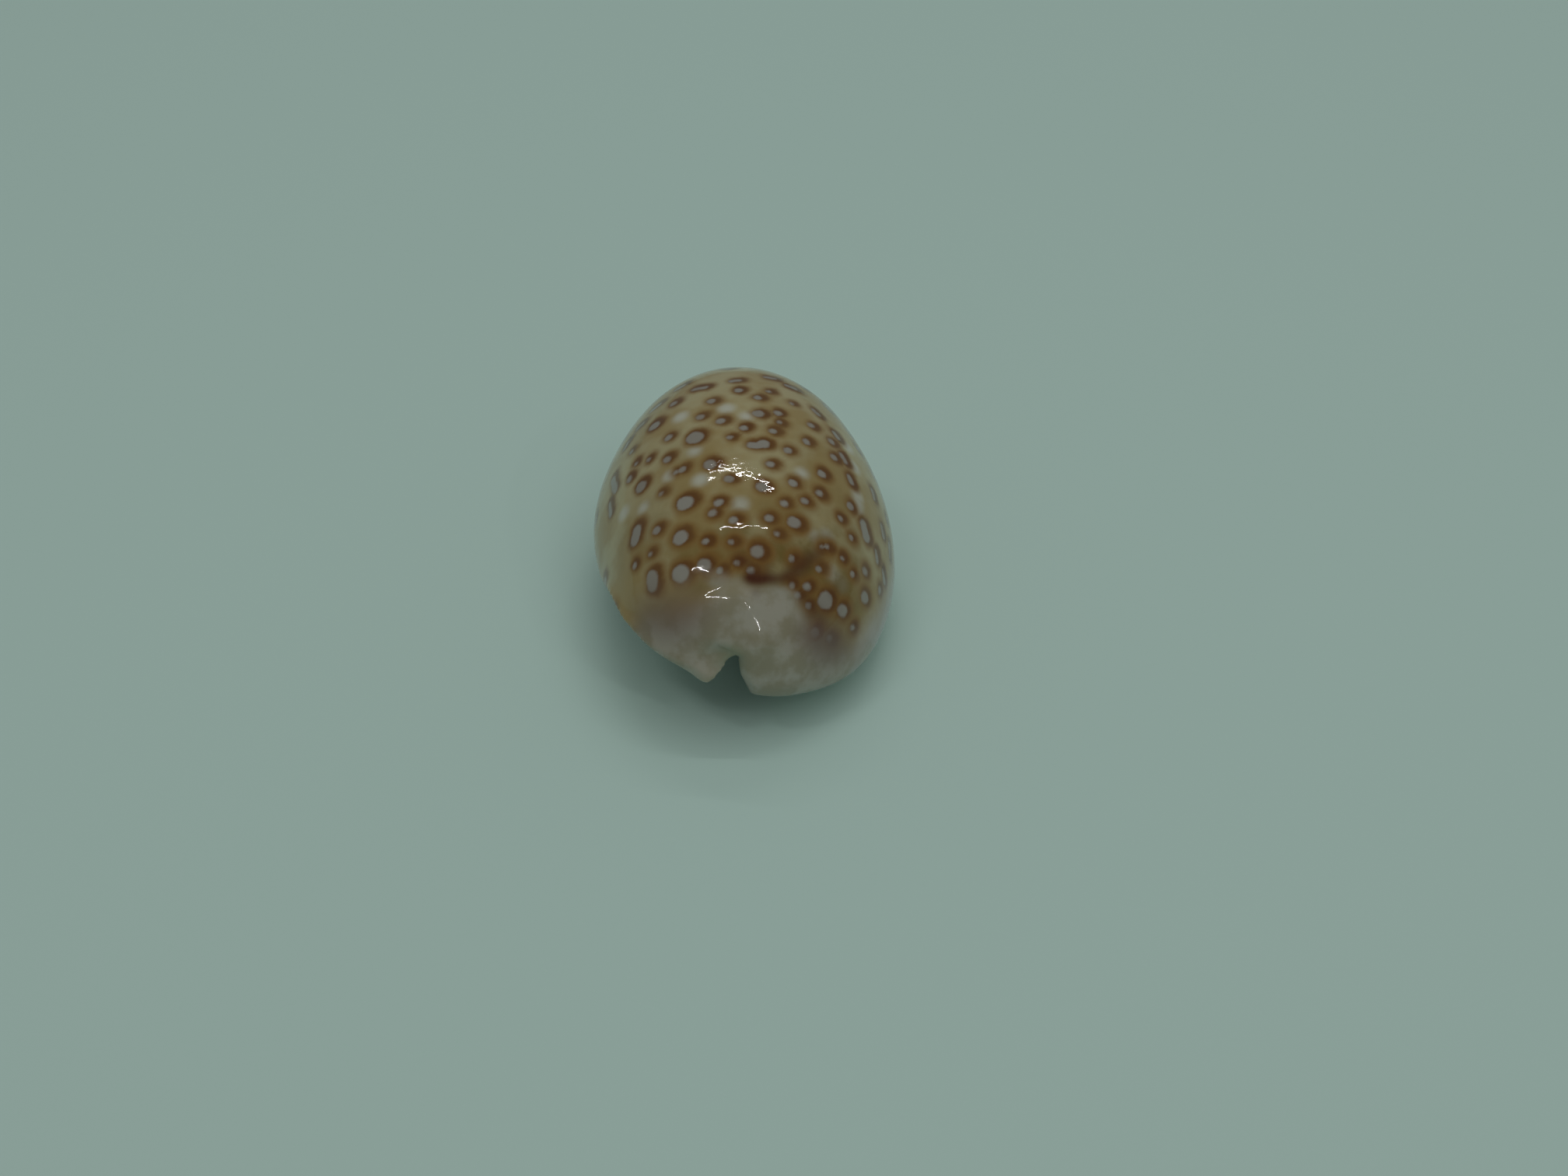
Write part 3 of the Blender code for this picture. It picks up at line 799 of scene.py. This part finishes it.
def makeGlaze():
    material, tree, surface = newMaterial("spottedGlaze")
    coordinates = addNode(tree, "ShaderNodeTexCoord", (-2200, 0)).outputs["Object"]
    wobble = noiseNode(tree, coordinates, "wobble", (-2000, 300))
    cloud = noiseNode(tree, coordinates, "cloud", (-2000, 0))
    streak = noiseNode(tree, coordinates, "streak", (-2000, -300))

    # distances to the spots and their rings, made uneven, and smaller where rings merge in the gold
    spot = readPoint(tree, "spot", (-2000, 600))
    wobbled = mathNode(tree, "MULTIPLY_ADD", wobble, shares["spotWobble"], (-1800, 500), spot)
    spotAway = mathNode(tree, "SUBTRACT", wobbled, 0.5 * shares["spotWobble"], (-1650, 500))
    around = readPoint(tree, "ring", (-2000, 800))
    wobbledRing = mathNode(tree, "MULTIPLY_ADD", streak, shares["ringWobble"], (-1800, 800), around)
    ringAway = mathNode(tree, "SUBTRACT", wobbledRing, 0.5 * shares["ringWobble"], (-1650, 800))
    golden = readPoint(tree, "golden", (-2000, -700))
    merged = mathNode(tree, "MULTIPLY_ADD", golden, shares["merging"], (-1500, 950), ringAway)

    # ground: tan with paler clouds, then gold towards the spire
    cloudy = rangeNode(tree, cloud, "cloudy", (-1700, 0))
    colour = mixColour(tree, cloudy, glaze["ground"], glaze["paleGround"], (-1500, 0))
    palePlace = readPoint(tree, "pale", (-2000, -500))
    paleFactor = mathNode(tree, "MULTIPLY", palePlace, shares["pale"], (-1700, -500), clamp=True)
    colour = mixColour(tree, paleFactor, colour, glaze["palePatch"], (-1300, 0))
    goldStreak = rangeNode(tree, streak, "goldStreak", (-1700, -300))
    goldFactor = mathNode(tree, "MULTIPLY", golden, goldStreak, (-1500, -600), clamp=True)
    colour = mixColour(tree, goldFactor, colour, glaze["golden"], (-1100, 0))

    # spots: a brown ring that fades outwards, round a pale centre
    ringDepth = readPoint(tree, "ringDepth", (-1500, 750))
    centreWhite = readPoint(tree, "centreWhite", (-1300, 850))
    layers = (("halo", merged, ringDepth, "halo", 400), ("ring", ringAway, ringDepth, "ring", 200),
              ("centre", spotAway, centreWhite, "spotCentre", 650))
    for layer, away, strength, paint, y in layers:
        factor = rangeNode(tree, away, layer, (-1500, y))
        factor = mathNode(tree, "MULTIPLY", factor, strength, (-1300, y))
        colour = mixColour(tree, factor, colour, glaze[paint], (-900, y))

    # margins, callus, the dark band, stains, painted shade in the left lobe's hollow and base lie over the
    # pattern
    height = addNode(tree, "ShaderNodeSeparateXYZ", (-1300, -1000))
    tree.links.new(coordinates, height.inputs[0])
    place = height.outputs["Z"]
    uneven = mathNode(tree, "MULTIPLY_ADD", cloud, shares["heightCloud"], (-1100, -1000), place)
    margin = rangeNode(tree, uneven, "margin", (-900, -1000))
    colour = mixColour(tree, margin, colour, glaze["lilac"], (-450, 0))
    callusFactor = rangeNode(tree, readPoint(tree, "callus", (-900, -1200)), "callus", (-700, -1200))
    mottle = rangeNode(tree, streak, "mottle", (-700, -1300))
    callusColour = mixColour(tree, mottle, glaze["callusTan"], glaze["callus"], (-500, -1300))
    colour = mixColour(tree, callusFactor, colour, callusColour, (-300, 0))
    chestnut = readPoint(tree, "chestnut", (-700, -800))
    colour = mixColour(tree, chestnut, colour, glaze["chestnut"], (-200, 150))
    # painted shade darkens the hollow of the left lobe
    shade = readPoint(tree, "shade", (-700, -1500))
    colour = mixColour(tree, shade, colour, glaze["shade"], (-170, 100))
    violet = readPoint(tree, "violet", (-700, -1400))
    violetFactor = mathNode(tree, "MULTIPLY", violet, shares["violet"], (-500, -1400), clamp=True)
    colour = mixColour(tree, violetFactor, colour, glaze["violet"], (-150, 0))
    base = rangeNode(tree, uneven, "base", (-500, -1000))
    colour = mixColour(tree, base, colour, glaze["base"], (0, 0))

    # the lips' white runs into the slit and turns brown in the room inside
    cutDepth = readPoint(tree, "cutDepth", (-500, -1600))
    cutUneven = mathNode(tree, "MULTIPLY_ADD", streak, shares["cutStreak"], (-300, -1600), cutDepth)
    deep = rangeNode(tree, cutUneven, "deep", (-100, -1600))
    colour = mixColour(tree, deep, colour, glaze["inside"], (150, 0))
    tree.links.new(colour, surface.inputs["Base Color"])
    addRipple(tree, surface, coordinates, glaze["rippleDepth"])
    for name, value in porcelain.items():
        surface.inputs[name].default_value = value
    return material


shell.data.materials.append(makeGlaze())
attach(shell, "root")
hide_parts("shell")
print("glaze finished")

studio = {
    "floorColour": (0.55, 0.73, 0.665),
    "floorSize": 3.0,
    "floorRoughness": 0.7,
    "worldColour": (0.80, 0.90, 0.87),
    "worldStrength": 0.20,
    "lightDistance": 0.35,
    # what each lamp shows as on the glaze: pixel of its glint, width and height in m, turn, power
    "lamps": [
        ("topLamp", (955, 603), 0.23, 0.0008, -7.0, 0.050),
        ("rearLamp", (958, 677), 0.18, 0.0012, -3.0, 0.058),
        ("lowLampLeft", (926, 768), 0.08, 0.0012, -10.0, 0.040),
        ("lowLampMiddle", (958, 778), 0.07, 0.0012, -35.0, 0.030),
        ("lowLampRight", (976, 806), 0.05, 0.0012, 60.0, 0.018),
    ],
    "panes": 7,            # each lamp is a broken row of this many
    "paneShare": 0.9,      # of the row's length that shines
    "paneJitter": 0.0015,  # how far the panes step out of line, m
    "fillSize": 0.8,
    "fillPlace": (0.08, -0.12, 0.7),
    "fillPower": 1.2,
}


def makeFloor():
    bpy.ops.object.select_all(action="DESELECT")
    bpy.ops.mesh.primitive_plane_add(size=studio["floorSize"])
    floor = bpy.context.object
    floor.name = "floor"
    material, tree, surface = newMaterial("paleFloor")
    surface.inputs["Base Color"].default_value = (*studio["floorColour"], 1.0)
    surface.inputs["Roughness"].default_value = studio["floorRoughness"]
    floor.data.materials.append(material)


def addLamp(name, place, target, width, height, turn, power, panes=1, glints=True):
    back = (place - target).normalized()
    across = (Vector((1, 0, 0)) - back * back.x).normalized()
    facing = Matrix((across, back.cross(across), back)).transposed()
    facing = facing @ Matrix.Rotation(math.radians(turn), 3, "Z")
    share, step = (studio["paneShare"], studio["paneJitter"]) if panes > 1 else (1, 0)
    rng = np.random.default_rng(panes)
    for index in range(panes):
        data = bpy.data.lights.new(name, "AREA")
        data.shape = "RECTANGLE"
        data.size = width / panes * share
        data.size_y = height
        data.energy = power / panes
        lamp = bpy.data.objects.new(name, data)
        lamp.visible_glossy = glints
        offset = ((index + 0.5) / panes - 0.5) * width
        lamp.location = place + facing @ Vector((offset, rng.uniform(-1, 1) * step, 0))
        lamp.rotation_euler = facing.to_euler()
        bpy.context.scene.collection.objects.link(lamp)


def lightStudio():
    world = bpy.data.worlds.new("world")
    world.use_nodes = True
    background = world.node_tree.nodes["Background"]
    background.inputs["Color"].default_value = (*studio["worldColour"], 1.0)
    background.inputs["Strength"].default_value = studio["worldStrength"]
    bpy.context.scene.world = world
    for name, pixel, width, height, turn, power in studio["lamps"]:
        ray = Vector(rayThrough(*pixel))
        place, normal, index, distance = shellSurface.ray_cast(Vector(cameraPlace), ray)
        bounce = ray - 2 * ray.dot(normal) * normal
        target = place * mm
        away = bounce * studio["lightDistance"]
        addLamp(name, target + away, target, width, height, turn, power, studio["panes"])
    size = studio["fillSize"]
    place = Vector(studio["fillPlace"])
    addLamp("softbox", place, Vector((0, 0, 0)), size, size, 0, studio["fillPower"], glints=False)


makeFloor()
lightStudio()
bpy.context.scene.view_settings.view_transform = "Standard"
print("studio lit")
